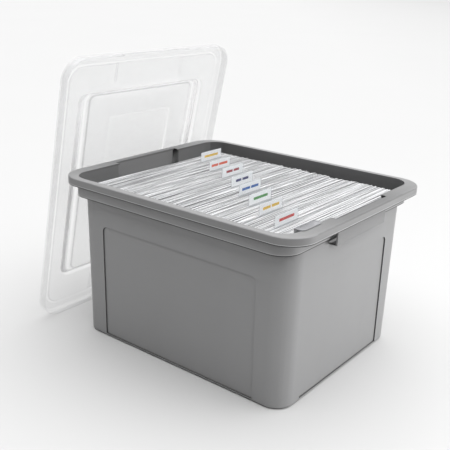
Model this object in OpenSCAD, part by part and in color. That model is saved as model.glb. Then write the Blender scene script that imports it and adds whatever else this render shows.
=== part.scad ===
// Portable file box: an open plastic tote, its clear lid leaning on one end, and eight tabbed files.
// X runs along the long side, Y across it, Z up. The origin is the middle of the base on the floor.

/* [Tote] */
// Length of the rim along X
box_l = 470; // [440:1:500]
// Width of the rim along Y
box_w = 388; // [360:1:410]
// Height of the rim above the floor
box_h = 278; // [255:1:300]
// Wall thickness of the tote
wall = 2.5; // [2:0.1:3]
// Thickness of the tote floor
floor_t = 3; // [2:0.1:4]
// Corner radius of the rim
rim_r = 45; // [42:1:48]
// Height of the lip that hangs round the rim
lip_h = 13; // [11:0.5:16]
// Height of the collar below the lip
collar_h = 19; // [16:1:22]
// Inset of the side walls below the collar
body_in = 24; // [23:0.5:26]
// How far each side wall leans in by the floor
draft = 3.5; // [2:0.5:4]
// Width of the rim top along the long sides
rim_side = 11; // [10:0.5:12]
// Width of the rim top along the ends
rim_end = 23; // [22:0.5:24]
// How far the panels are sunk into the side walls
panel_in = 2; // [1:0.1:2.5]
// Height of the top of the panels
panel_top = 200; // [180:1:210]
// Width of each hand grip
grip_w = 150; // [120:1:160]
// Depth of each hand grip below the rim
grip_h = 41; // [37:1:43]

/* [Lid] */
// Thickness of the lid
lid_t = 2.2; // [1.8:0.1:2.6]
// Clearance between the lid's skirt and the rim
lid_gap = 0.8; // [0.5:0.1:1.5]
// Depth of the lid's skirt
skirt = 16; // [12:0.5:20]
// Corner radius of the lid
lid_r = 38; // [34:1:44]
// How far the lid leans from upright, in degrees
lean = 12; // [8:0.5:16]
// How far the lid stands off to one side of the tote's middle
lid_y = -6; // [-8:0.5:8]
// Where the lid is
lid_pose = "leaning"; // [leaning, closed]

/* [Files] */
// Empty gap at the end the lid leans on
empty_gap = 21; // [17:1:30]
// Clearance between the sheets and the tote's side walls
sheet_gap = 4; // [3:0.5:28]
// Height of the file tops below the rim
file_drop = 12; // [12:0.5:20]
// Thickness of a divider card
card_t = 0.8; // [0.6:0.1:1.2]
// Thickness of the bundles of sheets
bundle_t = 3.4; // [2.5:0.1:5]
// Gap between the bundles
bundle_gap = 0.8; // [0.5:0.1:1.2]
// Width of an index tab
tab_w = 60; // [50:1:64]
// Height of an index tab above its divider
tab_rise = 17.5; // [14:0.5:17.5]
// Thickness of the tab's clear plastic
tab_t = 0.5; // [0.4:0.1:0.7]
// Thickness of the insert in a tab
insert_t = 0.4; // [0.3:0.05:0.5]

/* [Hidden] */
$fn = 64;
hx = box_l / 2;
hy = box_w / 2;
z_lip = box_h - lip_h;
z_collar = z_lip - collar_h;
z_grip = box_h - grip_h;
corner_less = 11;
body_r = rim_r - corner_less;
foot_edge = 3;
in_x = hx - rim_end;
in_y = hy - rim_side;
rim_less = 14.5;
in_r = rim_r - rim_less;
collar_r = in_r + wall;
grip_edge = 11;
grip_out = hx - grip_edge;
slot_gap = 3;
slot_half = grip_w / 2 + slot_gap;
box_half = grip_w / 2 - slot_gap;
panel_low = 4;
panel_r = 9;
panel_side_edge = 80;
panel_foot_edge = 75;
panel_top_edge = 81;
cav_x = hx - body_in - draft - wall - panel_in;
cav_y = hy - body_in - draft - wall - panel_in;
cav_r = body_r - draft - wall - panel_in;

// The lid's outline, its steps inward and how high each one stands above the flange.
lid_x = hx + lid_gap + lid_t;
lid_half = hy + lid_gap + lid_t;
step_in = 17.5;
step_z = -1.4;
step_less = 10;
step_r = lid_r - step_less;
ring_side = 48.5;
ring_end = 67;
ring_z = 8;
ring_r = step_r / 2;
tray_in = 73;
tray_z = 6;
tray_r = 10;
mid_side = 119;
mid_end = 116;
mid_z = 10;
mid_r = 8;
scoop_more = 5;
scoop_half = grip_w / 2 + scoop_more;
scoop_z = 2.5;
skirt_left = 4;
rest_gap = 0.3;
lid_rest = rest_gap + lid_t - step_z;
lid_foot = -(hx * cos(lean) + box_h * sin(lean) + lid_rest) / cos(lean);
lid_up = skirt * tan(lean) + lid_x;

// The files. Each tab's place is a fraction of the run from the first tab to the last, and of half the width.
file_rest = 0.3;
card_base = floor_t + file_rest;
card_top = box_h - file_drop;
tab_fit = 0.1;
tab_gap = card_t + tab_fit;
tab_grip = 9;
insert_edge = 1.5;
insert_fit = 0.2;
side_fit = 1.5;
first_pack = 34.5;
last_pack = 41.5;
run_0 = -cav_x + empty_gap;
run_1 = cav_x - side_fit;
tab_first = run_0 + first_pack;
tab_last = run_1 - last_pack;
tab_at = [0, 0.169, 0.312, 0.46, 0.584, 0.722, 0.849, 1];
tab_side = [0.614, 0.367, 0.244, 0.038, -0.146, -0.342, -0.513, -0.69];
insert_tone = ["gold", "orangered", "firebrick", "navy", "royalblue", "seagreen", "gold", "crimson"];
reach = cav_y - sheet_gap;
file_clear = 2;
blank_w = 50;
blank_out = 15;
blank_r = 8;
blank_over = 1;
blank_side = -0.817;
uneven = 2 * bundle_t;
taper = 0.4;

function tab_x(i) = tab_first + tab_at[i] * (tab_last - tab_first);
function tab_y(i) = reach * tab_side[i];
function half_room(x) = abs(x) <= cav_x - cav_r ? cav_y
  : cav_y - cav_r + sqrt(max(0, cav_r * cav_r - pow(abs(x) - cav_x + cav_r, 2)));

// A rectangle with round corners, of half sizes a and b.
module outline(a, b, r) {
  square([2 * (a - r), 2 * b], center = true);
  square([2 * a, 2 * (b - r)], center = true);
  for (sx = [-1, 1], sy = [-1, 1]) translate([sx * (a - r), sy * (b - r)]) circle(r);
}

module slab(a, b, r, z0, z1) {
  translate([0, 0, z0]) linear_extrude(z1 - z0) outline(a, b, r);
}

// A flat frame between an outer outline and an inner one.
module frame(a0, b0, r0, a1, b1, r1, z0, z1) {
  translate([0, 0, z0]) linear_extrude(z1 - z0) difference() {
    outline(a0, b0, r0);
    outline(a1, b1, r1);
  }
}

// A block whose four sides and corners lean in by d at the bottom.
module drafted(a, b, r, z0, z1, d) {
  for (sx = [-1, 1], sy = [-1, 1])
    translate([sx * (a - r), sy * (b - r), z0]) cylinder(h = z1 - z0, r1 = r - d, r2 = r);
  rotate([90, 0, 0]) linear_extrude(2 * (b - r), center = true)
    polygon([[d - a, z0], [a - d, z0], [a, z1], [-a, z1]]);
  rotate([90, 0, 90]) linear_extrude(2 * (a - r), center = true)
    polygon([[d - b, z0], [b - d, z0], [b, z1], [-b, z1]]);
}

// A panel's outline: half width at the foot, half width at the top, round top corners.
module panel_shape(foot_half, top_half, r, more) {
  z1 = panel_top + more - r;
  arc = [for (a = [0:10:90]) [top_half - r + r * cos(a), z1 + r * sin(a)]];
  back = [for (a = [90:-10:0]) [-(top_half - r + r * cos(a)), z1 + r * sin(a)]];
  polygon(concat([[foot_half, panel_low]], arc, back, [[-foot_half, panel_low]]));
}

// The four side walls as one block, moved in from their outer faces.
module walls_in(inset) {
  drafted(hx - body_in - inset, hy - body_in - inset, body_r - inset, foot_edge, z_collar + wall, draft);
}

// What the panels sink into the side walls: a plain depth of each panel's outline, which is grown by more.
module sunk(inset, more) {
  side_half = hx - panel_side_edge + more;
  difference() {
    union() {
      rotate([90, 0, 0]) linear_extrude(box_w, center = true)
        panel_shape(side_half, side_half, panel_r + more, more);
      rotate([90, 0, 90]) linear_extrude(box_l, center = true)
        panel_shape(hy - panel_foot_edge + more, hy - panel_top_edge + more, panel_r + more, more);
    }
    walls_in(inset + panel_in);
  }
}

// What a hand grip takes out of the end wall and the rim, and the slot it leaves in the collar at each side.
module grip_cut() {
  wall_x = hx - body_in - wall - 1;
  translate([wall_x, -grip_w / 2, z_grip + wall]) cube([grip_out - wall - wall_x, grip_w, grip_h]);
  translate([in_x - 1, -slot_half, z_collar + wall])
    cube([wall + 2, 2 * slot_half, box_h - z_collar - 2 * wall]);
}

// The box that a hand hooks into: a floor and an outer wall, with its two sides open.
module grip_walls() {
  shelf_x = hx - body_in - wall / 2;
  translate([shelf_x, -box_half, z_grip]) cube([grip_out - shelf_x, 2 * box_half, wall]);
  translate([grip_out - wall, -box_half, z_grip]) cube([wall, 2 * box_half, grip_h - wall / 2]);
}

// A rib under the rim on each side of the far grip, from the collar out to the lip.
module grip_ribs() {
  for (s = [-1, 1]) translate([in_x + wall / 2, s * (slot_half + wall / 2) - wall / 2, z_collar])
    cube([rim_end - wall, wall, box_h - wall / 2 - z_collar]);
}

module tote_body() {
  color("gray") {
    difference() {
      union() {
        difference() {
          walls_in(0);
          sunk(0, 0);
        }
        drafted(hx - body_in - draft, hy - body_in - draft, body_r - draft, 0, foot_edge, foot_edge);
        slab(in_x + wall, in_y + wall, collar_r, z_collar, z_lip + wall);
        slab(hx, hy, rim_r, z_lip, box_h);
      }
      difference() {
        walls_in(wall);
        sunk(wall, wall);
      }
      slab(in_x, in_y, in_r, z_collar + wall, box_h + 1);
      frame(hx - wall, hy - wall, rim_r - wall, in_x + wall, in_y + wall, collar_r, z_lip - 1, box_h - wall);
      for (s = [0, 1]) mirror([s, 0, 0]) grip_cut();
    }
    for (s = [0, 1]) mirror([s, 0, 0]) grip_walls();
    mirror([1, 0, 0]) grip_ribs();
  }
}

// The lid as it lies closed, with the top of its flange at height 0.
module lid_frame(m0x, m0y, r0, m1x, m1y, r1, z0, z1) {
  frame(lid_x - m0x, lid_half - m0y, r0, lid_x - m1x, lid_half - m1y, r1, z0, z1);
}

// The raised floor of the scoop over a hand grip, and the walls that carry it.
module lid_scoop() {
  translate([lid_x - ring_end - lid_t / 2, -scoop_half, step_z - lid_t])
    cube([ring_end + lid_t / 2 - step_in + lid_t, 2 * scoop_half, scoop_z - step_z + lid_t]);
}

module lid_scoop_hollow() {
  low = step_z - lid_t - 1;
  translate([lid_x - ring_end, -scoop_half + lid_t, low])
    cube([ring_end - step_in, 2 * (scoop_half - lid_t), scoop_z - lid_t - low]);
  translate([lid_x - lid_t - 1, -scoop_half, -skirt - 1])
    cube([lid_t + 2, 2 * scoop_half, skirt + 1 - skirt_left]);
}

module lid_closed() {
  difference() {
    union() {
      lid_frame(0, 0, lid_r, lid_t, lid_t, lid_r - lid_t, -skirt, 0);
      lid_frame(0, 0, lid_r, step_in + lid_t, step_in + lid_t, step_r - lid_t, -lid_t, 0);
      lid_frame(step_in, step_in, step_r, ring_end + lid_t, ring_side + lid_t, ring_r - lid_t,
        step_z - lid_t, step_z);
      lid_frame(step_in, step_in, step_r, step_in + lid_t, step_in + lid_t, step_r - lid_t,
        step_z - lid_t, 0);
      lid_frame(ring_end, ring_side, ring_r, ring_end + lid_t, ring_side + lid_t, ring_r - lid_t,
        step_z - lid_t, ring_z);
      lid_frame(ring_end, ring_side, ring_r, tray_in, tray_in, tray_r, ring_z - lid_t, ring_z);
      lid_frame(tray_in - lid_t, tray_in - lid_t, tray_r + lid_t, tray_in, tray_in, tray_r,
        tray_z - lid_t, ring_z);
      lid_frame(tray_in, tray_in, tray_r, mid_end + lid_t, mid_side + lid_t, mid_r - lid_t,
        tray_z - lid_t, tray_z);
      lid_frame(mid_end, mid_side, mid_r, mid_end + lid_t, mid_side + lid_t, mid_r - lid_t,
        tray_z - lid_t, mid_z);
      slab(lid_x - mid_end, lid_half - mid_side, mid_r, mid_z - lid_t, mid_z);
      for (s = [0, 1]) mirror([s, 0, 0]) lid_scoop();
    }
    for (s = [0, 1]) mirror([s, 0, 0]) lid_scoop_hollow();
  }
}

module lid() {
  color("lightsteelblue", 0.5) {
    if (lid_pose == "closed") translate([0, 0, box_h + lid_rest]) lid_closed();
    else translate([lid_foot + lid_up * sin(lean), lid_y, lid_up * cos(lean)])
      rotate([0, lean - 90, 0]) lid_closed();
  }
}

module divider(i) {
  translate([tab_x(i) - card_t / 2, -reach, card_base]) cube([card_t, 2 * reach, card_top - card_base]);
}

// A strip of clear plastic folded over the card's top edge, with the insert between its two leaves.
module tab(i) {
  low = card_top - tab_grip;
  translate([tab_x(i), tab_y(i), low]) difference() {
    translate([-tab_gap / 2 - tab_t, -tab_w / 2, 0]) cube([tab_gap + 2 * tab_t, tab_w, tab_grip + tab_rise]);
    translate([-tab_gap / 2, -tab_w / 2 - 1, -1]) cube([tab_gap, tab_w + 2, tab_grip + tab_rise + 1 - tab_t]);
  }
}

module label(i) {
  translate([tab_x(i) - insert_t / 2, tab_y(i) - tab_w / 2 + insert_edge, card_top + insert_fit])
    cube([insert_t, tab_w - 2 * insert_edge, tab_rise - tab_t - 2 * insert_fit]);
}

// A clear tab with no insert, tucked in front of the last sheets and bent flat over the rim. It is bent
// back over the sheets when the lid is closed.
module blank_tab() {
  closed = lid_pose == "closed";
  low = card_top - tab_grip;
  top = closed ? card_top + file_rest : box_h + blank_over;
  out = closed ? -1 : 1;
  color("azure", 0.6) translate([run_1 + file_rest, reach * blank_side, 0]) {
    translate([0, -blank_w / 2, low]) cube([tab_t, blank_w, top + tab_t - low]);
    translate([tab_t / 2, 0, top]) linear_extrude(tab_t) scale([out, 1]) {
      translate([0, -blank_w / 2]) square([blank_out - blank_r, blank_w]);
      translate([0, blank_r - blank_w / 2]) square([blank_out, blank_w - 2 * blank_r]);
      for (s = [-1, 1]) translate([blank_out - blank_r, s * (blank_w / 2 - blank_r)]) circle(blank_r);
    }
  }
}

// Bundles of sheets standing on edge from x0 to x1, with tops that differ by a few millimetres.
module bundles(x0, x1, seed) {
  n = floor((x1 - x0 + bundle_gap) / (bundle_t + bundle_gap));
  each_t = (x1 - x0 + bundle_gap) / n - bundle_gap;
  for (k = [0:n - 1]) {
    x = x0 + k * (each_t + bundle_gap);
    low = uneven * pow(sin(97 * (k + 1) + 53 * seed), 2);
    half = min(reach - taper * low, half_room(x) - side_fit, half_room(x + each_t) - side_fit);
    translate([x, -half, card_base]) cube([each_t, 2 * half, card_top - card_base - low]);
  }
}

module papers(i) {
  bundles(i == 0 ? run_0 : tab_x(i - 1) + file_clear, tab_x(i) - file_clear, i + 1);
}

module divider_1() { color("whitesmoke") divider(0); }
module divider_2() { color("whitesmoke") divider(1); }
module divider_3() { color("whitesmoke") divider(2); }
module divider_4() { color("whitesmoke") divider(3); }
module divider_5() { color("whitesmoke") divider(4); }
module divider_6() { color("whitesmoke") divider(5); }
module divider_7() { color("whitesmoke") divider(6); }
module divider_8() { color("whitesmoke") divider(7); }
module tab_1() { color("azure", 0.6) tab(0); }
module tab_2() { color("azure", 0.6) tab(1); }
module tab_3() { color("azure", 0.6) tab(2); }
module tab_4() { color("azure", 0.6) tab(3); }
module tab_5() { color("azure", 0.6) tab(4); }
module tab_6() { color("azure", 0.6) tab(5); }
module tab_7() { color("azure", 0.6) tab(6); }
module tab_8() { color("azure", 0.6) tab(7); }
module label_1() { color(insert_tone[0]) label(0); }
module label_2() { color(insert_tone[1]) label(1); }
module label_3() { color(insert_tone[2]) label(2); }
module label_4() { color(insert_tone[3]) label(3); }
module label_5() { color(insert_tone[4]) label(4); }
module label_6() { color(insert_tone[5]) label(5); }
module label_7() { color(insert_tone[6]) label(6); }
module label_8() { color(insert_tone[7]) label(7); }
module papers_1() { color("gainsboro") papers(0); }
module papers_2() { color("gainsboro") papers(1); }
module papers_3() { color("gainsboro") papers(2); }
module papers_4() { color("gainsboro") papers(3); }
module papers_5() { color("gainsboro") papers(4); }
module papers_6() { color("gainsboro") papers(5); }
module papers_7() { color("gainsboro") papers(6); }
module papers_8() { color("gainsboro") papers(7); }
module front_papers() { color("gainsboro") bundles(tab_x(7) + file_clear, run_1, 9); }

tote_body();
lid();
divider_1();
divider_2();
divider_3();
divider_4();
divider_5();
divider_6();
divider_7();
divider_8();
tab_1();
tab_2();
tab_3();
tab_4();
tab_5();
tab_6();
tab_7();
tab_8();
label_1();
label_2();
label_3();
label_4();
label_5();
label_6();
label_7();
label_8();
papers_1();
papers_2();
papers_3();
papers_4();
papers_5();
papers_6();
papers_7();
papers_8();
front_papers();
blank_tab();
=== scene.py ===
"""The looks of a portable file box: its grey tote, clear lid, paper files and coloured index tabs.

The file is laid out as an add-on. Sizes and colours are properties, each group of pieces has an
operator, and main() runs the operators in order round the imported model.
"""
import math
import random

import bmesh
import bpy
from bpy.props import FloatProperty, FloatVectorProperty, IntProperty, PointerProperty
from mathutils import Matrix, Vector


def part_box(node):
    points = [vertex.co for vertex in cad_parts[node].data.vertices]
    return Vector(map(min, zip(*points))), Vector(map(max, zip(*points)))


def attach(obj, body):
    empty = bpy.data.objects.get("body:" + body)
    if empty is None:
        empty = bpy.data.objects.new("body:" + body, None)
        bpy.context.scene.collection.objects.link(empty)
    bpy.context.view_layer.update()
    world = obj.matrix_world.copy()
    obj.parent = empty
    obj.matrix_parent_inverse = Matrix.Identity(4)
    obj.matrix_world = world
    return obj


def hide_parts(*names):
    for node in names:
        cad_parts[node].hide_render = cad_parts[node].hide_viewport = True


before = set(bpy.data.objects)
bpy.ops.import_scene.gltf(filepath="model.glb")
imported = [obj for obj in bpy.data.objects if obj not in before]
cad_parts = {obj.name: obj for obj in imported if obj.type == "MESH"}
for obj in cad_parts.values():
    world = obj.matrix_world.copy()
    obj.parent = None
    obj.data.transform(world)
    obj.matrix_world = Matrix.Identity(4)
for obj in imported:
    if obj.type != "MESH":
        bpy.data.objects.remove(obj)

bl_info = {
    "name": "Portable File Box",
    "version": (1, 0, 0),
    "blender": (4, 5, 0),
    "location": "View3D > Sidebar > File Box",
    "description": "Builds the tote, lid, files and index tabs of a portable file box",
    "category": "Add Mesh",
}

MM = 0.001
# Two heights that differ by less than this count as the same.
HAIR = 0.01 * MM
FILES = range(1, 9)
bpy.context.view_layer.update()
TOTE_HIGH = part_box("tote_body")[1]


def length(name, description, default):
    """A size in metres that a user can change."""
    return FloatProperty(
        name=name, description=description, default=default, unit="LENGTH", precision=5
    )


def turning(name, description, degrees):
    """An angle that a user can change."""
    return FloatProperty(
        name=name, description=description, default=math.radians(degrees), subtype="ANGLE"
    )


def amount(name, description, default):
    """A plain number that a user can change."""
    return FloatProperty(name=name, description=description, default=default)


def tint(name, description, default):
    """A colour that a user can change."""
    return FloatVectorProperty(
        name=name, description=description, default=default, subtype="COLOR", size=3, min=0, max=1
    )


def fraction(name, description, default):
    """A number from 0 to 1 that a user can change."""
    return FloatProperty(name=name, description=description, default=default, min=0, max=1)


class ToteSettings(bpy.types.PropertyGroup):
    """Sizes and finish of the grey tote."""

    edge: length("Edge radius", "Rounding of the tote's moulded edges", 0.9 * MM)
    rim_edge: length("Rim edge radius", "Rounding of the rim's top edge", 2.4 * MM)
    colour: tint("Plastic", "Colour of the tote's plastic", (0.258, 0.258, 0.26))
    grain: amount("Grain", "Grain marks in one metre", 1500.0)
    roughness: fraction("Roughness", "Roughness of the plastic", 0.46)


class LidSettings(bpy.types.PropertyGroup):
    """Sizes and finish of the clear lid, which is modelled closed and then leant on the tote."""

    long: length("Length", "Outer length of the lid", 476 * MM)
    wide: length("Width", "Outer width of the lid", 394 * MM)
    sheet: length("Thickness", "Thickness of the lid's plastic", 2.2 * MM)
    skirt: length("Skirt", "Depth of the skirt below the flange", 16 * MM)
    scoop: length("Scoop", "Half width of the scoop over each hand grip", 80 * MM)
    lean: turning("Lean", "Lean from upright", 12)
    side: length("Side", "How far the lid stands off to one side", -6 * MM)
    rest: length("Rest", "Gap from the flange's top to the rim it rests on", 3.9 * MM)
    colour: tint("Plastic", "Colour of the lid's plastic", (0.7, 0.703, 0.71))
    body_high: fraction("Upper body", "How much light the lid stops at its upper end", 0.21)
    body_low: fraction("Lower body", "How much light the lid stops near the floor", 0.1)
    # Settings for the painted shade along the lid's creases and the painted glint on its ring's crest.
    crease: fraction("Crease", "How much light a crease of the lid stops", 0.42)
    glint: tint("Glint", "Colour of the ring's bright crest", (0.97, 0.97, 0.97))
    glint_body: fraction("Glint body", "How much more light the bright crest stops", 0.55)


class FileSettings(bpy.types.PropertyGroup):
    """Sizes and finish of the sheets, dividers and index tabs."""

    sheet_low: length("Thinnest", "Thickness of the thinnest bundle of sheets", 0.5 * MM)
    sheet_high: length("Thickest", "Thickness of the thickest bundle of sheets", 1.5 * MM)
    ragged: length("Ragged", "How unevenly the sheets stand at their tops", 1.3 * MM)
    bow: length("Bow", "How far the sheets bow in the middle", 1.1 * MM)
    paper: tint("Paper", "Colour of the sheets", (0.62, 0.625, 0.635))
    card: tint("Card", "Colour of the dividers", (0.62, 0.625, 0.635))
    clear: tint("Clear tab", "Colour of the index tabs' plastic", (0.86, 0.93, 0.98))
    clear_body: fraction("Tab body", "How much light a tab stops", 0.07)
    seed: IntProperty(name="Seed", description="Seed of the sheets' unevenness", default=7)


class StageSettings(bpy.types.PropertyGroup):
    """Camera, lights and floor."""

    eye: FloatVectorProperty(
        name="Camera",
        description="Place of the camera",
        default=(0.68941, -0.92993, 0.60006),
        unit="LENGTH",
    )
    turn: turning("Turn", "Turn of the camera", 37.886)
    dip: turning("Dip", "Dip of the camera", 19.268)
    roll: turning("Roll", "Roll of the camera", 1.846)
    lens: amount("Lens", "Focal length in millimetres", 58.28)
    key: amount("Key light", "Strength of the high key light", 4.75)
    side: amount("Side light", "Power of the low panel on the right, in watts", 11.5)
    sky: amount("Sky", "Strength of the light overhead", 0.55)
    horizon: amount("Horizon", "Strength of the light at eye level and below", 0.05)
    backdrop: amount("Backdrop", "How light the backdrop behind the floor looks", 0.86)
    floor: tint("Floor", "Colour of the floor", (0.535, 0.535, 0.535))


# Objects and modifiers


def select_only(piece):
    """Selects one object and makes it the active one."""
    if bpy.context.object and bpy.context.object.mode != "OBJECT":
        bpy.ops.object.mode_set(mode="OBJECT")
    bpy.ops.object.select_all(action="DESELECT")
    piece.select_set(True)
    bpy.context.view_layer.objects.active = piece


def named(name):
    """Names the object that an operator has just added, and its mesh."""
    piece = bpy.context.object
    piece.name = name
    piece.data.name = name
    return piece


def apply_modifier(piece, kind, **settings):
    """Adds a modifier and applies it to the mesh."""
    select_only(piece)
    modifier = piece.modifiers.new(kind.title(), kind)
    for key, value in settings.items():
        setattr(modifier, key, value)
    bpy.ops.object.modifier_apply(modifier=modifier.name)


def bevel_edges(piece, width, segments=1, angle=1.0):
    """Bevels the edges where faces meet at more than an angle in radians."""
    apply_modifier(
        piece, "BEVEL", width=width, segments=segments, limit_method="ANGLE", angle_limit=angle
    )


def apply_place(piece):
    """Puts the object's place, turn and size into its mesh."""
    select_only(piece)
    bpy.ops.object.transform_apply(location=True, rotation=True, scale=True)


def box_piece(name, low, high):
    """A plain box between two corners."""
    bpy.ops.object.select_all(action="DESELECT")
    bpy.ops.mesh.primitive_cube_add(size=1, location=(low + high) / 2, scale=high - low)
    piece = named(name)
    apply_place(piece)
    return piece


def smooth(piece, angle=35):
    """Smooth shading that keeps edges sharper than an angle in degrees."""
    select_only(piece)
    bpy.ops.object.shade_smooth_by_angle(angle=math.radians(angle))


def paint(piece, *looks):
    """Gives a piece its materials, in order."""
    for look in looks:
        piece.data.materials.append(look)


def seat(piece, body, slot, *nodes):
    """Makes a finished piece ride on its body and stand for its CAD nodes."""
    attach(piece, body)
    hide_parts(*nodes)


def new_piece(name, data):
    """An object for a mesh."""
    data.name = name
    piece = bpy.data.objects.new(name, data)
    bpy.context.scene.collection.objects.link(piece)
    return piece


def copy_of_node(node, name):
    """A copy of a CAD node's mesh, merged into one skin with flat faces joined up."""
    piece = new_piece(name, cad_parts[node].data.copy())
    piece.data.materials.clear()
    select_only(piece)
    bpy.ops.mesh.customdata_custom_splitnormals_clear()
    bpy.ops.object.mode_set(mode="EDIT")
    bpy.ops.mesh.select_all(action="SELECT")
    bpy.ops.mesh.remove_doubles(threshold=0.002 * MM)
    bpy.ops.mesh.dissolve_limited(angle_limit=math.radians(0.3))
    bpy.ops.mesh.vert_connect_concave()
    bpy.ops.object.mode_set(mode="OBJECT")
    return piece


# Materials


class Nodes:
    """A short way to lay out one material's nodes."""

    def __init__(self, name):
        self.material = bpy.data.materials.new(name)
        self.material.use_nodes = True
        self.tree = self.material.node_tree
        self.shader = self.tree.nodes["Principled BSDF"]
        self.place = self.add("TexCoord").outputs["Object"]

    def add(self, kind, **values):
        """Adds a node and sets its own settings, or its sockets, by name."""
        node = self.tree.nodes.new("ShaderNode" + kind)
        for key, value in values.items():
            if hasattr(node, key):
                setattr(node, key, value)
            else:
                node.inputs[key].default_value = value
        return node

    def link(self, source, target):
        self.tree.links.new(source, target)

    def wire(self, **sources):
        """Links sources to sockets of the shader."""
        for key, source in sources.items():
            self.link(source, self.shader.inputs[key.replace("_", " ")])

    def set(self, **values):
        """Sets sockets of the shader that are the same all over the surface."""
        for key, value in values.items():
            self.shader.inputs[key.replace("_", " ")].default_value = value

    def stretched(self, x, y, z):
        """Object coordinates scaled unevenly, for streaks and fibres."""
        mapping = self.add("Mapping")
        mapping.inputs["Scale"].default_value = (x, y, z)
        self.link(self.place, mapping.inputs["Vector"])
        return mapping.outputs["Vector"]

    def noise(self, scale, detail=3.0, vector=None):
        """An uneven pattern with so many marks in one metre."""
        node = self.add("TexNoise", Scale=scale, Detail=detail)
        self.link(vector or self.place, node.inputs["Vector"])
        return node.outputs["Fac"]

    def between(self, factor, low, high, start=0.0, end=1.0):
        """Maps a factor from one range of numbers on to another."""
        node = self.add("MapRange")
        ends = {"From Min": start, "From Max": end, "To Min": low, "To Max": high}
        for name, value in ends.items():
            node.inputs[name].default_value = value
        self.link(factor, node.inputs["Value"])
        return node.outputs["Result"]

    def blend(self, factor, low, high):
        """Mixes two colours by a factor."""
        node = self.add("Mix", data_type="RGBA")
        for socket, value in ((node.inputs[6], low), (node.inputs[7], high)):
            if isinstance(value, bpy.types.NodeSocket):
                self.link(value, socket)
            else:
                socket.default_value = (*value, 1.0)
        self.link(factor, node.inputs[0])
        return node.outputs[2]

    def crevice(self, reach, low, high):
        """0 in the piece's own narrow corners, where shade falls, and 1 in the open: a mask for
        painted shade.
        """
        near = self.add("AmbientOcclusion", only_local=True, samples=12, Distance=reach)
        return self.between(near.outputs["AO"], 0.0, 1.0, low, high)

    def within(self, middle, half, soft):
        """1 inside a box that is mirrored to the tote's four quarters, fading to 0 outside it."""
        vector = self.place
        for operation, value in (("ABSOLUTE", None), ("SUBTRACT", middle), ("ABSOLUTE", None)):
            node = self.add("VectorMath", operation=operation)
            self.link(vector, node.inputs[0])
            if value:
                node.inputs[1].default_value = value
            vector = node.outputs["Vector"]
        split = self.add("SeparateXYZ")
        self.link(vector, split.inputs[0])
        x, y, z = (
            self.between(split.outputs[k], 1.0, 0.0, half[k], half[k] + soft[k]) for k in range(3)
        )
        return self.combine(self.combine(x, y), z)

    def combine(self, one, other, operation="MULTIPLY"):
        """Multiplies two factors, or combines them by another operation."""
        node = self.add("Math", operation=operation)
        self.link(one, node.inputs[0])
        self.link(other, node.inputs[1])
        return node.outputs[0]

    def bump(self, height, strength, distance, below=None):
        """A relief from a height, on top of another relief if there is one below."""
        node = self.add("Bump", Strength=strength, Distance=distance)
        self.link(height, node.inputs["Height"])
        if below:
            self.link(below, node.inputs["Normal"])
        return node.outputs["Normal"]


# How much light bends in the tote's plastic and in the clear lid and tabs.
PLASTIC_IOR = 1.46
CLEAR_IOR = 1.49


def shade(colour, factor):
    """The same colour, lighter or darker."""
    return tuple(min(1.0, c * factor) for c in colour)


# Boxes in which painted shade darkens the tote, each by its middle, half its size and its soft border,
# in metres: the flat rim over each grip, and the hollow of each grip behind its outer wall, which a
# near black painted shadow fills.
RIM_BOX = ((0.224, 0, 0.2785), (0.0125, 0.06, 0.003), (0.004, 0.13, 0.001))
GRIP_BOX = ((0.2175, 0, 0.2585), (0.0035, 0.0755, 0.02), (0.0003, 0.001, 0.002))


def tote_plastic(s, name, light):
    """Grey moulded polypropylene with a fine grain and faint flow marks, and painted shade in its
    narrow corners, on the rim over each grip and in each grip's hollow.
    """
    n = Nodes(name)
    colour = shade(s.colour, light)
    # Painted shade for the narrow corners, and random lighter specks.
    corner_shade, speck = shade(colour, 0.16), shade(colour, 1.25)
    # Painted shade for the rim over each grip, and a near black painted shadow for each grip's hollow.
    rim_shade, grip_shadow = shade(colour, 0.66), shade(colour, 0.05)
    flow = n.noise(9.0, 2.0, n.stretched(1.0, 1.0, 0.35))
    unshaded = n.blend(flow, shade(colour, 0.955), shade(colour, 1.045))
    # Painted shade where the piece's corners are narrow.
    base = n.blend(n.crevice(20 * MM, 0.6, 0.8), corner_shade, unshaded)
    specked = n.blend(n.between(n.noise(520.0, 2.0), 0.0, 0.16), base, speck)
    # Painted shade on the rim over each grip, then a painted shadow in each grip's hollow.
    rim = n.blend(n.within(*RIM_BOX), specked, rim_shade)
    n.wire(Base_Color=n.blend(n.within(*GRIP_BOX), rim, grip_shadow))
    shine = n.between(n.noise(38.0, 4.0), s.roughness - 0.05, s.roughness + 0.06)
    n.wire(Roughness=shine)
    grain = n.bump(n.noise(s.grain, 2.0), 0.16, 0.12 * MM)
    n.wire(Normal=n.bump(flow, 0.12, 0.9 * MM, grain))
    n.set(IOR=PLASTIC_IOR)
    return n.material


# How the lid's plastic looks, as its "tone" attribute gives it: painted shade at a crease, frost, a
# clearer bend that shows as a painted highlight and a painted glint.
# Then between which heights its body grows from its lower to its upper value.
CREASE, FROST, BEND, GLINT = 0.0, 0.5, 1.0, 2.0
BODY_FROM, BODY_TO = 0.08, 0.4


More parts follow.
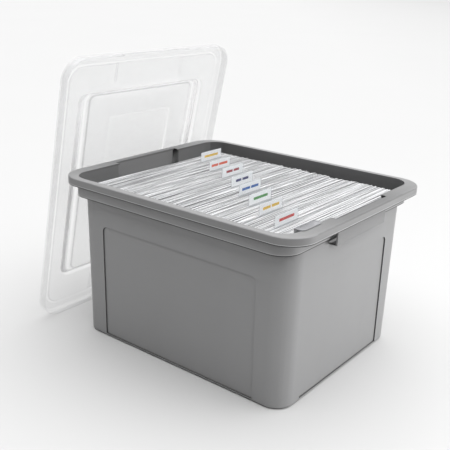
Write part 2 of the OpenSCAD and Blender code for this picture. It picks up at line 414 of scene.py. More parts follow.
def lid_plastic(s):
    """Clear plastic with a light frost and thin scratches, painted shade along its creases, clearer
    bends and a painted glint on the ring's crest.
    """
    n = Nodes("lid_plastic")
    haze = n.noise(14.0, 3.0, n.stretched(1.0, 1.0, 0.5))
    look = n.add("Attribute", attribute_name="tone").outputs["Fac"]
    frost = n.blend(haze, shade(s.colour, 0.985), shade(s.colour, 1.01))
    # Painted shade at the creases, and a painted glint on the ring's crest.
    crease_shaded = n.blend(n.between(look, 0.0, 1.0, CREASE, FROST), shade(s.colour, 0.55), frost)
    glint = n.between(look, 0.0, 1.0, BEND, GLINT)
    n.wire(Base_Color=n.blend(glint, crease_shaded, s.glint))
    split = n.add("SeparateXYZ")
    n.link(n.place, split.inputs[0])
    body = n.between(split.outputs["Z"], s.body_low, s.body_high, BODY_FROM, BODY_TO)
    # Bends stop less light and creases and the crest more, to paint bright and dark lines.
    thinned = n.combine(body, n.between(look, 1.0, 0.2, FROST, BEND))
    crease = n.between(look, s.crease - s.body_high, 0.0, CREASE, FROST)
    crest = n.between(glint, 0.0, s.glint_body)
    stopped = n.combine(n.combine(thinned, crease, "ADD"), crest, "ADD")
    n.wire(Alpha=stopped)
    scratch = n.noise(60.0, 3.0, n.stretched(14.0, 1.0, 1.4))
    n.wire(Roughness=n.between(scratch, 0.2, 0.34))
    n.wire(Normal=n.bump(n.noise(30.0, 2.0), 0.05, 0.5 * MM))
    n.set(IOR=CLEAR_IOR)
    return n.material


def paper(s, name, light):
    """White sheets seen edge on: each bundle has its own tone, with fine lines of painted shade
    between its sheets.
    """
    n = Nodes(name)
    colour = shade(s.paper, light)
    tone = n.add("Attribute", attribute_name="tone").outputs["Fac"]
    # Fine dark lines of painted shade where the sheets meet.
    lines = n.noise(1.0, 2.0, n.stretched(5200.0, 14.0, 9.0))
    fibre = n.noise(2600.0, 2.0)
    dark, pale, line = (shade(colour, factor) for factor in (0.78, 1.12, 0.7))
    body = n.blend(tone, dark, pale)
    n.wire(Base_Color=n.blend(n.between(lines, -0.1, 0.42), body, line))
    n.wire(Roughness=n.between(fibre, 0.78, 0.92))
    n.wire(Normal=n.bump(lines, 0.35, 0.12 * MM, n.bump(fibre, 0.1, 0.03 * MM)))
    n.set(IOR=1.45)
    return n.material


def card(s):
    """Smooth divider card with a faint mottle."""
    n = Nodes("divider_card")
    mottle = n.noise(240.0, 4.0)
    n.wire(Base_Color=n.blend(mottle, shade(s.card, 0.95), shade(s.card, 1.04)))
    n.wire(Roughness=n.between(n.noise(900.0, 2.0), 0.6, 0.74))
    n.wire(Normal=n.bump(n.noise(1800.0, 2.0), 0.12, 0.05 * MM))
    return n.material


# The colour of a clear tab at its edges, and the two colours between which a frosted one varies.
TAB_EDGE = (0.42, 0.55, 0.68)
TAB_FROST = ((0.36, 0.363, 0.38), (0.41, 0.413, 0.43))


def clear_tab(s):
    """Clear tab plastic with a cool edge where it is seen side on."""
    n = Nodes("clear_tab")
    edge = n.add("LayerWeight", Blend=0.35).outputs["Facing"]
    n.wire(Base_Color=n.blend(edge, shade(s.clear, 1.03), TAB_EDGE))
    n.wire(Roughness=n.between(n.noise(300.0, 2.0), 0.08, 0.18))
    n.set(Alpha=s.clear_body, IOR=CLEAR_IOR, Specular_IOR_Level=0.25)
    return n.material


def frosted_tab(s):
    """The same plastic without an insert behind it, where its light frost shows."""
    n = Nodes("frosted_tab")
    haze = n.noise(60.0, 3.0)
    n.wire(Base_Color=n.blend(haze, *TAB_FROST))
    n.wire(Roughness=n.between(n.noise(300.0, 2.0), 0.15, 0.28))
    n.set(Alpha=0.6, IOR=CLEAR_IOR)
    return n.material


def insert_card(name, colour):
    """Coated white paper, or a bar printed on it in one colour."""
    n = Nodes(name)
    ink = n.noise(1500.0, 3.0)
    n.wire(Base_Color=n.blend(ink, shade(colour, 0.93), shade(colour, 1.05)))
    n.wire(Roughness=n.between(n.noise(700.0, 2.0), 0.5, 0.66))
    n.wire(Normal=n.bump(n.noise(2400.0, 2.0), 0.06, 0.03 * MM))
    return n.material


# The way in which painted shade makes the floor greyer, and the distances between which it does, in
# metres.
GREYER_WAY = (0.789, 0.614, 0.0)
GREYER_FROM, GREYER_TO = 0.9, 5.0


def floor_sweep(s):
    """A plain pale floor with hardly any texture, with painted shade making it a little greyer far off
    on the right.
    """
    n = Nodes("floor_sweep")
    along = n.add("VectorMath", operation="DOT_PRODUCT")
    along.inputs[1].default_value = GREYER_WAY
    n.link(n.place, along.inputs[0])
    far = n.between(along.outputs["Value"], 0.0, 1.0, GREYER_FROM, GREYER_TO)
    near = n.blend(n.noise(1.2, 2.0), shade(s.floor, 0.99), shade(s.floor, 1.01))
    n.wire(Base_Color=n.blend(far, near, shade(s.floor, 0.87)))
    n.set(Roughness=0.85, Specular_IOR_Level=0.2)
    return n.material


# Tote

# The tote's material slots after the first, in the order of its looks: a painted highlight, a painted
# shadow band, and painted shade on the lip's side and inside the mouth.
EDGE, SHADOW_BAND, LIP, INSIDE = range(1, 5)


class FILEBOX_OT_tote(bpy.types.Operator):
    """Rounds the tote's moulded edges and gives it grained grey plastic, with painted highlights and
    shade
    """

    bl_idname = "file_box.tote"
    bl_label = "Tote"

    # The plain plastic, then lighter and darker copies for a painted highlight, a painted shadow band
    # and painted shade.
    looks = (
        ("tote_plastic", 1.0),
        ("tote_edge_highlight", 1.45),
        ("tote_shadow_band", 0.12),
        ("tote_lip_shade", 0.76),
        ("tote_inside_shade", 0.55),
    )
    # Heights of the lip and of the collar below it.
    lip = 13 * MM
    collar = 19 * MM
    # The hand grips: the level they start above, and how far in their outer walls stand.
    grip_low = 236 * MM
    grip_in = 11 * MM
    # The walls: how far in they start, how far they lean in, from what height and over what.
    wall_in = 24 * MM
    draft = 3.5 * MM
    wall_top = 248.5 * MM
    wall_height = 245.5 * MM
    # The sunk panels: the axis each looks along, the axis it runs along and half its width. Then
    # their top, the depths between which their edges lie and how far outward those edges look.
    panels = ((0, 1, 125 * MM), (1, 0, 158 * MM))
    panel_top = 203 * MM
    panel_depth = (-0.2 * MM, 1.1 * MM)
    panel_slant = (0.25, 0.97)
    # Outlines of the rim and of the collar: half a length, half a width and a corner radius.
    rim = (TOTE_HIGH.x, TOTE_HIGH.y, 45 * MM)
    neck = (TOTE_HIGH.x - 20.5 * MM, TOTE_HIGH.y - 8.5 * MM, 33 * MM)
    # Heights of the painted shadow band and of the painted highlight above it.
    seam = 1.3 * MM
    highlight_band = 1.0 * MM
    # How near a face's middle is to an outline that it belongs to, and how deep the outer skin goes.
    near = 0.8 * MM
    skin = 1 * MM

    def execute(self, context):
        s = context.scene.file_box_tote
        piece = copy_of_node("tote_body", "tote_moulding")
        self.round_rim(piece, s)
        bevel_edges(piece, s.edge, 2, math.radians(32))
        paint(piece, *[tote_plastic(s, name, light) for name, light in self.looks])
        self.pick_faces(piece)
        # A painted shadow band with a painted highlight above it, low on the lip's side and the
        # collar's side.
        self.line_edge(piece, TOTE_HIGH.z - self.lip, self.rim)
        self.line_edge(piece, TOTE_HIGH.z - self.lip - self.collar, self.neck)
        smooth(piece, 40)
        apply_modifier(piece, "WEIGHTED_NORMAL", keep_sharp=True, weight=80)
        seat(piece, "tote", "tote_plastic", "tote_body")
        return {"FINISHED"}

    def pick_faces(self, piece):
        """Picks out the panels' edges for a painted highlight, and the sides of the lip, the grips and
        the mouth for painted shade.
        """
        for face in piece.data.polygons:
            middle, facing = face.center, face.normal
            upright = abs(facing.z) < 0.5
            if self.on_panel_edge(middle, facing):
                face.material_index = EDGE
            elif upright and middle.z > self.grip_low and self.on_lip(middle, facing):
                # Painted shade on the lip's side and the grips' walls, and darker painted shade on the
                # mouth's long inner walls.
                inside = abs(facing.y) > 0.5 and middle.y * facing.y < -50 * MM
                face.material_index = INSIDE if inside else LIP

    def on_panel_edge(self, middle, facing):
        """Whether a face slants between a wall and its sunk panel."""
        lean = (self.wall_top - middle.z) / self.wall_height * self.draft
        shallow, deep = self.panel_depth
        least, most = self.panel_slant
        for across, along, half in self.panels:
            depth = TOTE_HIGH[across] - self.wall_in - lean - abs(middle[across])
            on_panel = abs(middle[along]) < half and middle.z < self.panel_top
            if on_panel and shallow < depth < deep:
                return least < abs(facing[across]) < most
        return False

    def on_lip(self, middle, facing):
        """Whether a face is on the lip's side or a grip's outer wall, or looks inward."""
        if self.distance_in(middle, self.rim) < self.near:
            return middle.z > TOTE_HIGH.z - self.lip + self.seam
        if abs(abs(middle.x) - (TOTE_HIGH.x - self.grip_in)) < self.near:
            return facing.x * middle.x > 0
        inward = facing.x * middle.x + facing.y * middle.y < 0
        return inward and self.distance_in(middle, self.neck) > self.skin

    def line_edge(self, piece, low, outline):
        """Marks a painted shadow band and a painted highlight above it, low on the side of the lip or
        collar.
        """
        select_only(piece)
        bpy.ops.object.mode_set(mode="EDIT")
        bpy.ops.mesh.select_mode(type="FACE")
        for step in (self.seam, self.seam + self.highlight_band):
            mesh = bmesh.from_edit_mesh(piece.data)
            for face in mesh.faces:
                face.select = self.on_side(face, outline)
            bmesh.update_edit_mesh(piece.data)
            bpy.ops.mesh.bisect(plane_co=(0, 0, low + step), plane_no=(0, 0, 1))
        mesh = bmesh.from_edit_mesh(piece.data)
        for face in mesh.faces:
            above = face.calc_center_median().z - low
            if self.on_side(face, outline) and -10 * HAIR < above < self.seam + self.highlight_band:
                face.material_index = SHADOW_BAND if above < self.seam else EDGE
        bmesh.update_edit_mesh(piece.data)
        bpy.ops.object.mode_set(mode="OBJECT")

    def on_side(self, face, outline):
        """Whether a face is part of an upright side that follows the outline."""
        away = self.distance_in(face.calc_center_median(), outline)
        return face.normal.z < 0.5 and abs(away) < self.near

    def round_rim(self, piece, s):
        """Rounds the outer edge of the rim's flat top more than the rest."""
        select_only(piece)
        bpy.ops.object.mode_set(mode="EDIT")
        bpy.ops.mesh.select_mode(type="EDGE")
        bpy.ops.mesh.select_all(action="DESELECT")
        mesh = bmesh.from_edit_mesh(piece.data)
        top = TOTE_HIGH.z
        for edge in mesh.edges:
            a, b = (v.co for v in edge.verts)
            outside = all(self.distance_in(p, self.rim) < self.skin for p in (a, b))
            at_top = abs(a.z - top) < HAIR and abs(b.z - top) < HAIR
            edge.select = outside and at_top and not self.flat(edge)
        bmesh.update_edit_mesh(piece.data)
        bpy.ops.mesh.bevel(offset=s.rim_edge, segments=4, profile=0.5, clamp_overlap=True)
        bpy.ops.object.mode_set(mode="OBJECT")

    @staticmethod
    def flat(edge):
        """Whether an edge only divides a flat face, to within a tenth of a radian."""
        return len(edge.link_faces) == 2 and edge.calc_face_angle() < 0.1

    @staticmethod
    def distance_in(point, outline):
        """How far in a point lies from an outline: half a length, half a width and a radius."""
        half_x, half_y, corner = outline
        x = abs(point.x) - (half_x - corner)
        y = abs(point.y) - (half_y - corner)
        if x > 0 and y > 0:
            return corner - math.hypot(x, y)
        return corner - max(x, y)


# Lid

# Each row of the lid's section: inset from the ends, inset from the sides, corner radius and height,
# in mm, and how the plastic looks there, from CREASE (painted shade) over FROST and BEND (clearer, a
# painted highlight) to GLINT (a painted highlight).
SKIRT_ROWS = (
    (0, 0, 38, -16, 0.5), (0, 0, 38, -14.5, 0.5), (0, 0, 38, -2.6, 0.5), (0.4, 0.4, 37.6, -1.1, 0.6),
    (1.3, 1.3, 36.7, -0.3, 0.95),
)
FLANGE_ROWS = (
    (2.8, 2.8, 35.4, 0, 0.7), (4.4, 4.4, 34, 0, 0.5), (14, 14, 28.6, 0, 0.5), (15.2, 15.2, 28, 0, 1.0),
    (16.6, 16.6, 27, -0.25, 0.95), (18.4, 18.4, 26, -1.4, 0.25),
)
CHANNEL_ROWS = 11
CHANNEL = ((19.8, 19.8, 25.4, -1.4, 0.5), (63.6, 45.1, 15.2, -1.4, 0.5))
RING_ROWS = (
    (65.8, 47.3, 14.5, -0.9, 0.6), (66.7, 48.2, 14, 0.6, 1.0), (67.2, 48.7, 14, 6.0, 1.0),
    (68.0, 49.5, 13.5, 7.5, 1.9),
)
CREST_ROWS = (
    (69.4, 51, 12.5, 8, 1.9), (71.2, 70.6, 11.2, 8, 0.5), (72.6, 72.6, 10.5, 7.7, 0.15),
    (73.4, 73.4, 10, 6.5, 0.1),
)
TRAY_ROWS = (
    (74.6, 74.6, 9.5, 6.0, 0.45), (90, 92, 9, 6.0, 0.45), (113.6, 116.4, 9, 6.0, 0.45),
    (115, 118, 8.5, 6.5, 0.6),
)
MIDDLE_ROWS = (
    (116, 119, 8, 8.0, 0.85), (117, 120, 7.5, 9.5, 0.85), (119, 122, 7, 10, 0.5),
    (150, 135, 6, 10, 0.45),
)


CORNER_STEPS = 12
SIDE_STEPS = 8


def rounded_outline(half_x, half_y, radius, stations):
    """Points round a rectangle with round corners, the same count each time."""
    a, b = half_x - radius, half_y - radius
    limit = max(abs(y) for y in stations) + 4 * MM
    fit = min(1.0, b / limit)
    end = [(half_x, -b), *[(half_x, y * fit) for y in stations], (half_x, b)]
    quarter = [math.radians(90 * k / CORNER_STEPS) for k in range(1, CORNER_STEPS)]
    corner = [(a + radius * math.cos(t), b + radius * math.sin(t)) for t in quarter]
    side = [(a * (1 - 2 * k / SIDE_STEPS), half_y) for k in range(SIDE_STEPS + 1)]
    half = end + corner + side + [(-x, y) for x, y in reversed(corner)]
    return half + [(-x, -y) for x, y in half]


def lid_rows():
    """The lid's section from the skirt's free edge to its middle."""
    low, high = CHANNEL
    last = CHANNEL_ROWS - 1
    channel = [tuple(p + (q - p) * k / last for p, q in zip(low, high)) for k in range(CHANNEL_ROWS)]
    return [*SKIRT_ROWS, *FLANGE_ROWS, *channel, *RING_ROWS, *CREST_ROWS, *TRAY_ROWS, *MIDDLE_ROWS]


def soft_step(value, low, high):
    """Rises smoothly from 0 to 1 between two values."""
    t = min(1.0, max(0.0, (value - low) / (high - low)))
    return t * t * (3 - 2 * t)


class FILEBOX_OT_lid(bpy.types.Operator):
    """Draws the lid's skin ring by ring, thickens it and leans it on the tote"""

    bl_idname = "file_box.lid"
    bl_label = "Lid"

    edge = 0.6 * MM
    # The scoop over each grip: its height, its insets, its corners and how it slopes up.
    scoop_height = 2.5 * MM
    scoop_from = 17.5 * MM
    scoop_to = 66 * MM
    scoop_corner = 18 * MM
    scoop_slope = (-1.2 * MM, 1.4 * MM)
    # The notch in the skirt under it: its height, which rows it lifts and how soft its ends are.
    notch_height = -5 * MM
    notch_below = -10 * MM
    notch_end = 1 * MM

    def execute(self, context):
        s = context.scene.file_box_lid
        piece = self.skin(s)
        apply_modifier(piece, "SOLIDIFY", thickness=s.sheet, offset=-1.0, use_even_offset=True)
        bevel_edges(piece, self.edge, 2, math.radians(60))
        smooth(piece, 50)
        self.lean(piece, s)
        paint(piece, lid_plastic(s))
        seat(piece, "lid", "clear_lid", "lid")
        return {"FINISHED"}

    def skin(self, s):
        """The closed lid's outer skin, extruded ring by ring from the skirt's free edge inward."""
        stations = self.stations(s.scoop / MM)
        rows = lid_rows()
        rings = []
        for inset_x, inset_y, radius, height, _ in rows:
            half_x, half_y = s.long / 2 - inset_x * MM, s.wide / 2 - inset_y * MM
            outline = rounded_outline(half_x, half_y, radius * MM, stations)
            rings.append([self.raised(s, x, y, inset_x * MM, height * MM) for x, y in outline])
        bpy.ops.object.select_all(action="DESELECT")
        bpy.ops.mesh.primitive_circle_add(vertices=len(rings[0]), radius=s.wide / 2)
        piece = named("lid_moulding")
        bpy.ops.object.mode_set(mode="EDIT")
        mesh = bmesh.from_edit_mesh(piece.data)
        spoke = mesh.verts.layers.int.new("spoke")
        tone = mesh.verts.layers.float.new("tone")
        for number, vert in enumerate(mesh.verts):
            vert[spoke] = number
            vert[tone] = rows[0][-1]
            vert.co = rings[0][number]
        bmesh.update_edit_mesh(piece.data)
        for ring, row in zip(rings[1:], rows[1:]):
            bpy.ops.mesh.extrude_edges_move()
            mesh = bmesh.from_edit_mesh(piece.data)
            spoke = mesh.verts.layers.int["spoke"]
            tone = mesh.verts.layers.float["tone"]
            for vert in mesh.verts:
                if vert.select:
                    vert[tone] = row[-1]
                    vert.co = ring[vert[spoke]]
            bmesh.update_edit_mesh(piece.data)
        bpy.ops.mesh.edge_face_add()
        mesh = bmesh.from_edit_mesh(piece.data)
        mesh.verts.layers.int.remove(mesh.verts.layers.int["spoke"])
        bmesh.update_edit_mesh(piece.data)
        bpy.ops.mesh.select_all(action="SELECT")
        bpy.ops.mesh.normals_make_consistent(inside=False)
        bpy.ops.object.mode_set(mode="OBJECT")
        if piece.data.polygons[-1].normal.z < 0:
            bpy.ops.object.mode_set(mode="EDIT")
            bpy.ops.mesh.flip_normals()
            bpy.ops.object.mode_set(mode="OBJECT")
        return piece

    @staticmethod
    def stations(half):
        """Where points lie along an end: every 5 mm, and in pairs where the scoop and notch stop."""
        between = range(-int(half) + 6, int(half) - 5, 5)
        return [y * MM for y in (-half - 1, -half + 1, *between, half - 1, half + 1)]

    def raised(self, s, x, y, inset, height):
        """A point of the skin, lifted where the scoop over a hand grip or the notch under it is."""
        at_end = abs(x) >= s.long / 2 - inset - HAIR
        if at_end and inset < self.notch_end and height < self.notch_below:
            lift = 1 - soft_step(abs(y), s.scoop - self.notch_end, s.scoop + self.notch_end)
            height += lift * (self.notch_height - height)
        elif at_end and self.scoop_from < inset < self.scoop_to:
            lift = soft_step(self.inside_scoop(s, y, inset), *self.scoop_slope)
            height += lift * (self.scoop_height - height)
        return Vector((x, y, height))

    def inside_scoop(self, s, y, inset):
        """How far a point lies inside the scoop's outline, which has two round corners."""
        along, across = s.scoop - abs(y), self.scoop_to - inset
        corner = self.scoop_corner
        if along < corner and across < corner:
            return corner - math.hypot(corner - along, corner - across)
        return min(along, across, inset - self.scoop_from + 1 * MM)

    def lean(self, piece, s):
        """Turns the closed lid up on end and leans its underside on the rim."""
        reach = TOTE_HIGH.x * math.cos(s.lean) + TOTE_HIGH.z * math.sin(s.lean) + s.rest
        foot = -reach / math.cos(s.lean)
        up = s.skirt * math.tan(s.lean) + s.long / 2
        middle = Matrix.Translation((foot + up * math.sin(s.lean), s.side, up * math.cos(s.lean)))
        piece.data.transform(middle @ Matrix.Rotation(s.lean - math.pi / 2, 4, "Y"))
        piece.data.update()


# Files


def unit_sheet(segments=10):
    """One bundle of sheets, a unit each way, cut across so that it can bow and stand unevenly."""
    bpy.ops.object.select_all(action="DESELECT")
    bpy.ops.mesh.primitive_cube_add(size=1, location=(0, 0, 0.5))
    piece = named("sheet_pattern")
    apply_place(piece)
    bpy.ops.object.mode_set(mode="EDIT")
    for k in range(1, segments):
        bpy.ops.mesh.select_all(action="SELECT")
        bpy.ops.mesh.bisect(plane_co=(0, -0.5 + k / segments, 0), plane_no=(0, 1, 0))
    bpy.ops.object.mode_set(mode="OBJECT")
    return piece


class FILEBOX_OT_sheets(bpy.types.Operator):
    """Fills each file with thin bundles of sheets whose ends, tones and heights differ a little"""

    bl_idname = "file_box.sheets"
    bl_label = "Sheets"

    # How sheets look edge on, and a darker copy that paints shade on a bundle's faces that look at the
    # next bundle.
    looks = (("paper", 1.0), ("paper_shade", 0.42))
    # Groups of bundles: how many in one, how far it drops as a share of the raggedness, its tone and
    # how far a bundle's own tone differs.
    group = (1, 4)
    group_drop = (0, 0.7)
    group_tone = (0.5, 0.85)
    tone_change = (-0.14, 0.1)
    # Gaps after a group and after a bundle, in mm, and how unevenly the bundles' ends lie.
    group_gap = (0.35, 0.85)
    gap = (0.06, 0.2)
    end_spread = 2.2 * MM
    # A bundle's top: how far it waves, slopes and drops, as shares of the raggedness, and how fast
    # it waves along its width.
    wave = (0.2, 0.7)
    slope = 0.35
    drop = (0, 0.5)
    wave_rate = 2.6
    # Where the tote's round corners start, and how fast the room narrows there.
    corner_from = 186 * MM
    corner_slope = 0.5

    def execute(self, context):
        s = context.scene.file_box_files
        pattern = unit_sheet()
        looks = [paper(s, name, light) for name, light in self.looks]
        packs = [(f"papers_{k}", f"sheets_{k}", f"file_{k}") for k in FILES]
        packs.append(("front_papers", "sheets_front", "front_file"))
        for number, (node, name, body) in enumerate(packs):
            piece = self.pack(s, pattern, node, name, random.Random(s.seed + number))
            paint(piece, *looks)
            seat(piece, body, "paper", node)
        bpy.data.objects.remove(pattern)
        return {"FINISHED"}

    def pack(self, s, pattern, node, name, chance):
        """One file's bundles of sheets, from the back of its box to the front."""
        low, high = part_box(node)
        mesh = bmesh.new()
        tone = mesh.verts.layers.float.new("tone")
        x = low.x
        drop, left = 0.0, 0
        while x < high.x - s.sheet_low:
            if left == 0:
                left = chance.randint(*self.group)
                drop = chance.uniform(*self.group_drop) * s.ragged
                group_tone = chance.uniform(*self.group_tone)
            left -= 1
            thick = min(chance.uniform(s.sheet_low, s.sheet_high), high.x - x)
            half = self.half_width(high, x) - abs(chance.gauss(0, self.end_spread))
            before, faces = len(mesh.verts), len(mesh.faces)
            mesh.from_mesh(pattern.data)
            mesh.verts.ensure_lookup_table()
            mesh.faces.ensure_lookup_table()
            outermost = x == low.x or x + thick > high.x - s.sheet_low
            # Faces that look at the next bundle get the copy with painted shade.
            for face in mesh.faces[faces:]:
                face.material_index = 1 if abs(face.normal.x) > 0.9 and not outermost else 0
            self.place(s, mesh.verts[before:], low, high, x, thick, half, drop, chance)
            value = min(1.0, max(0.0, group_tone + chance.uniform(*self.tone_change)))
            for vert in mesh.verts[before:]:
                vert[tone] = value
            x += thick + chance.uniform(*(self.group_gap if left == 0 else self.gap)) * MM
        data = bpy.data.meshes.new(name)
        mesh.to_mesh(data)
        mesh.free()
        return new_piece(name, data)

    def half_width(self, high, x):
        """Half a bundle's width, which is less where the tote's round corners leave less room."""
        return high.y - self.corner_slope * max(0.0, abs(x) - self.corner_from)

    def place(self, s, verts, low, high, x, thick, half, drop, chance):
        """Sizes one bundle and lets it bow and stand a little unevenly."""
        share = (x - low.x) / (high.x - low.x)
        bow = s.bow * math.sin(math.pi * share)
        phase, wave = chance.uniform(0, 6.28), chance.uniform(*self.wave) * s.ragged
        slope = chance.gauss(0, self.slope) * s.ragged
        drop += chance.uniform(*self.drop) * s.ragged
        height = high.z - low.z - drop - wave - abs(slope)
        for vert in verts:
            y = vert.co.y * 2
            lift = wave * math.sin(phase + self.wave_rate * y) + slope * y
            bend = bow * (math.cos(0.5 * math.pi * y) - 0.5) * share * (1 - share)
            vert.co = Vector((
                x + (vert.co.x + 0.5) * thick + bend,
                y * half,
                low.z + vert.co.z * (height + lift),
            ))


class FILEBOX_OT_dividers(bpy.types.Operator):
    """Cuts the divider cards with round upper corners"""

    bl_idname = "file_box.dividers"
    bl_label = "Dividers"

    corner = 9 * MM
    edge = 0.2 * MM

    def execute(self, context):
        s = context.scene.file_box_files
        look = card(s)
        for k in FILES:
            piece = self.divider(k)
            paint(piece, look)
            seat(piece, f"file_{k}", "divider_card", f"divider_{k}")
        return {"FINISHED"}

    def divider(self, k):
        """A thin box as big as the CAD node, with its upper corners rounded."""
        low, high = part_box(f"divider_{k}")
        piece = box_piece(f"divider_card_{k}", low, high)
        bpy.ops.object.mode_set(mode="EDIT")
        bpy.ops.mesh.select_mode(type="EDGE")
        bpy.ops.mesh.select_all(action="DESELECT")
        mesh = bmesh.from_edit_mesh(piece.data)
        for edge in mesh.edges:
            a, b = (v.co for v in edge.verts)
            edge.select = abs(a.x - b.x) > HAIR and min(a.z, b.z) > high.z - HAIR
        bmesh.update_edit_mesh(piece.data)
        bpy.ops.mesh.bevel(offset=self.corner, segments=6)
        bpy.ops.object.mode_set(mode="OBJECT")
        bevel_edges(piece, self.edge)
        smooth(piece)
        return piece


class FILEBOX_OT_tabs(bpy.types.Operator):
    """Folds a clear strip over the top of each divider"""

    bl_idname = "file_box.tabs"
    bl_label = "Index tabs"

    sheet = 0.45 * MM
    edge = 0.12 * MM

    def execute(self, context):
        s = context.scene.file_box_files
        look = clear_tab(s)
        for k in FILES:
            piece = self.tab(k)
            paint(piece, look)
            seat(piece, f"file_{k}", "clear_tab", f"tab_{k}")
        blank = copy_of_node("blank_tab", "blank_index_tab")
        bevel_edges(blank, self.edge)
        smooth(blank, 50)
        paint(blank, frosted_tab(s))
        seat(blank, "front_file", "clear_tab", "blank_tab")
        return {"FINISHED"}

    def tab(self, k):
        """A flat strip, folded over its middle and given its thickness."""
        low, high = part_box(f"tab_{k}")
        middle = (low + high) / 2
        outer = (high.x - low.x) / 2
        straight = high.z - low.z - outer
        run = 2 * straight + math.pi * outer
        bpy.ops.object.select_all(action="DESELECT")
        bpy.ops.mesh.primitive_grid_add(x_subdivisions=30, y_subdivisions=6, size=1)
        piece = named(f"index_tab_{k}")
        bpy.ops.object.mode_set(mode="EDIT")
        mesh = bmesh.from_edit_mesh(piece.data)
        for vert in mesh.verts:
            x, z = self.fold(vert.co.x * run, outer, straight)
            vert.co = Vector((middle.x + x, middle.y + vert.co.y * (high.y - low.y), low.z + z))
        bmesh.update_edit_mesh(piece.data)
        bpy.ops.mesh.select_all(action="SELECT")
        bpy.ops.mesh.normals_make_consistent(inside=False)
        bpy.ops.object.mode_set(mode="OBJECT")
        self.face_out(piece, middle)
        apply_modifier(piece, "SOLIDIFY", thickness=self.sheet, offset=-1.0)
        bevel_edges(piece, self.edge)
        smooth(piece, 50)
        return piece

    @staticmethod
    def fold(along, outer, straight):
        """Where a point of the flat strip comes to lie: across the fold and up."""
        bend = math.pi * outer / 2
        if abs(along) <= bend:
            angle = along / outer
            return outer * math.sin(angle), straight + outer * math.cos(angle)
        return math.copysign(outer, along), straight - (abs(along) - bend)

    @staticmethod
    def face_out(piece, middle):
        """Turns the strip's faces to the outside of the fold."""
        outward = sum(face.normal.x * (face.center.x - middle.x) for face in piece.data.polygons)
        if outward < 0:
            piece.data.flip_normals()


# Where the coloured bars lie on each insert, as shares of its width, and their inks.
BARS = (
    ((0.16, 0.84),),
    ((0.1, 0.42), (0.46, 0.88)),
    ((0.2, 0.5), (0.55, 0.82)),
    ((0.2, 0.46), (0.51, 0.8)),
    ((0.13, 0.5), (0.54, 0.89)),
    ((0.2, 0.84),),
    ((0.14, 0.48), (0.53, 0.87)),
    ((0.18, 0.84),),
)
BAR_TONES = ("yellow", "orange", "dark_red", "navy", "blue", "green", "yellow", "red")
WHITE = (0.97, 0.97, 0.98)
INK = {
    "yellow": (0.86, 0.54, 0.03),
    "orange": (0.8, 0.1, 0.025),
    "dark_red": (0.36, 0.008, 0.014),
    "navy": (0.025, 0.018, 0.13),
    "blue": (0.008, 0.11, 0.42),
    "green": (0.05, 0.29, 0.035),
    "red": (0.64, 0.04, 0.022),
}


class FILEBOX_OT_labels(bpy.types.Operator):
    """Cuts the paper inserts and prints one or two plain coloured bars on each"""

    bl_idname = "file_box.labels"
    bl_label = "Inserts"

    edge = 0.1 * MM
    # Where a bar lies up the insert, as shares of its height.
    bar_low = 0.36
    bar_high = 0.62

    def execute(self, context):
        white = insert_card("insert_white", WHITE)
        inks = {name: insert_card("insert_" + name, colour) for name, colour in INK.items()}
        for k in FILES:
            tone = BAR_TONES[k - 1]
            piece = self.insert(k)
            paint(piece, white, inks[tone])
            self.print_bars(piece, k)
            seat(piece, f"file_{k}", "insert_" + tone, f"label_{k}")
        return {"FINISHED"}

    def insert(self, k):
        """A thin box as big as the CAD node, cut along the borders of its bars."""
        low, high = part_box(f"label_{k}")
        piece = box_piece(f"insert_card_{k}", low, high)
        bevel_edges(piece, self.edge)
        bpy.ops.object.mode_set(mode="EDIT")
        size = high - low
        across = sorted({low.y + size.y * share for bar in BARS[k - 1] for share in bar})
        cuts = [((0, y, 0), (0, 1, 0)) for y in across]
        up = [low.z + size.z * share for share in (self.bar_low, self.bar_high)]
        cuts += [((0, 0, z), (0, 0, 1)) for z in up]
        for point, normal in cuts:
            bpy.ops.mesh.select_all(action="SELECT")
            bpy.ops.mesh.bisect(plane_co=point, plane_no=normal)
        bpy.ops.object.mode_set(mode="OBJECT")
        return piece

    def print_bars(self, piece, k):
        """Gives the faces inside the bars their ink."""
        low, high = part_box(f"label_{k}")
        size = high - low
        for face in piece.data.polygons:
            y = (face.center.y - low.y) / size.y
            z = (face.center.z - low.z) / size.z
            inside = self.bar_low < z < self.bar_high and any(a < y < b for a, b in BARS[k - 1])
            face.material_index = 1 if inside and abs(face.normal.x) > 0.9 else 0


# Stage


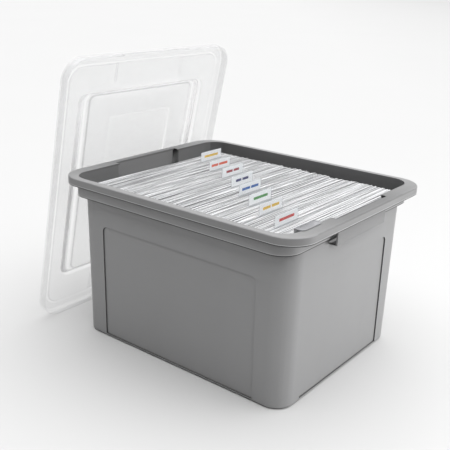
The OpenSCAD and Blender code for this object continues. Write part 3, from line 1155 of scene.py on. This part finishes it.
class FILEBOX_OT_stage(bpy.types.Operator):
    """Sets the camera, the lights and a plain pale floor"""

    bl_idname = "file_box.stage"
    bl_label = "Stage"

    # Where the soft key light comes from and how wide it spreads, and the place, the way and the
    # size of the low panel on the right.
    key_way = (0.14, 0.1, 0.98)
    key_spread = math.radians(100)
    side_place = (1.4, 0.85, 0.14)
    side_way = (1.0, 0.72, 0.0)
    side_size = (1.2, 0.24)
    # How strong the sky is at the front and at the back, and the floor's size and gap.
    sky_front = 0.2
    sky_back = 1.3
    floor_size = 80
    floor_gap = 0.4 * MM

    def execute(self, context):
        s = context.scene.file_box_stage
        self.camera(s)
        self.lights(s)
        self.world(s)
        bpy.ops.object.select_all(action="DESELECT")
        bpy.ops.mesh.primitive_plane_add(size=self.floor_size, location=(0, 0, -self.floor_gap))
        floor = named("floor")
        paint(floor, floor_sweep(s))
        context.scene.view_settings.view_transform = "Standard"
        return {"FINISHED"}

    def camera(self, s):
        turn = Matrix.Rotation(s.turn, 4, "Z") @ Matrix.Rotation(math.pi / 2 - s.dip, 4, "X")
        bpy.ops.object.camera_add()
        camera = named("camera")
        camera.matrix_world = Matrix.Translation(s.eye) @ turn @ Matrix.Rotation(s.roll, 4, "Z")
        camera.data.sensor_width = 36
        camera.data.lens = s.lens
        camera.data.clip_end = 200
        bpy.context.scene.camera = camera

    def lights(self, s):
        bpy.ops.object.light_add(type="SUN")
        key = named("key_light")
        key.data.energy = s.key
        key.data.angle = self.key_spread
        key.rotation_euler = Vector(self.key_way).to_track_quat("Z", "Y").to_euler()
        bpy.ops.object.light_add(type="AREA", location=self.side_place)
        side = named("side_light")
        side.data.energy = s.side
        side.data.shape = "RECTANGLE"
        side.data.size, side.data.size_y = self.side_size
        side.rotation_euler = Vector(self.side_way).to_track_quat("Z", "Y").to_euler()

    def world(self, s):
        """A sky that is lighter overhead and at the back, with an even backdrop for the camera."""
        world = bpy.context.scene.world or bpy.data.worlds.new("studio")
        bpy.context.scene.world = world
        world.use_nodes = True
        nodes, link = world.node_tree.nodes, world.node_tree.links.new
        background = nodes["Background"]
        background.inputs["Color"].default_value = (1, 1, 1, 1)
        place = nodes.new("ShaderNodeTexCoord")
        split = nodes.new("ShaderNodeSeparateXYZ")
        link(place.outputs["Generated"], split.inputs[0])
        strength = nodes.new("ShaderNodeMath")
        strength.operation = "MULTIPLY"
        ramps = (("Z", 0, s.horizon, s.sky), ("Y", -1, self.sky_front, self.sky_back))
        for number, (axis, start, low, high) in enumerate(ramps):
            ramp = nodes.new("ShaderNodeMapRange")
            ramp.inputs["From Min"].default_value = start
            ramp.inputs["To Min"].default_value = low
            ramp.inputs["To Max"].default_value = high
            link(split.outputs[axis], ramp.inputs["Value"])
            link(ramp.outputs["Result"], strength.inputs[number])
        seen = nodes.new("ShaderNodeLightPath")
        paled = nodes.new("ShaderNodeMix")
        paled.inputs["B"].default_value = s.backdrop
        link(seen.outputs["Is Camera Ray"], paled.inputs["Factor"])
        link(strength.outputs[0], paled.inputs["A"])
        link(paled.outputs["Result"], background.inputs["Strength"])


class FILEBOX_PT_panel(bpy.types.Panel):
    """Lists the file box's operators in the sidebar"""

    bl_idname = "FILEBOX_PT_panel"
    bl_label = "File Box"
    bl_space_type = "VIEW_3D"
    bl_region_type = "UI"
    bl_category = "File Box"

    def draw(self, context):
        for step in STEPS:
            self.layout.operator(step.bl_idname)


SETTINGS = {
    "file_box_tote": ToteSettings,
    "file_box_lid": LidSettings,
    "file_box_files": FileSettings,
    "file_box_stage": StageSettings,
}
STEPS = (
    FILEBOX_OT_stage,
    FILEBOX_OT_tote,
    FILEBOX_OT_lid,
    FILEBOX_OT_sheets,
    FILEBOX_OT_dividers,
    FILEBOX_OT_tabs,
    FILEBOX_OT_labels,
)
CLASSES = (*SETTINGS.values(), *STEPS, FILEBOX_PT_panel)


def register():
    for cls in CLASSES:
        bpy.utils.register_class(cls)
    for name, group in SETTINGS.items():
        setattr(bpy.types.Scene, name, PointerProperty(type=group))


def unregister():
    for name in SETTINGS:
        delattr(bpy.types.Scene, name)
    for cls in reversed(CLASSES):
        bpy.utils.unregister_class(cls)


def main():
    register()
    bpy.ops.object.select_all(action="DESELECT")
    for step in STEPS:
        group, name = step.bl_idname.split(".")
        getattr(getattr(bpy.ops, group), name)()


if __name__ == "__main__":
    main()
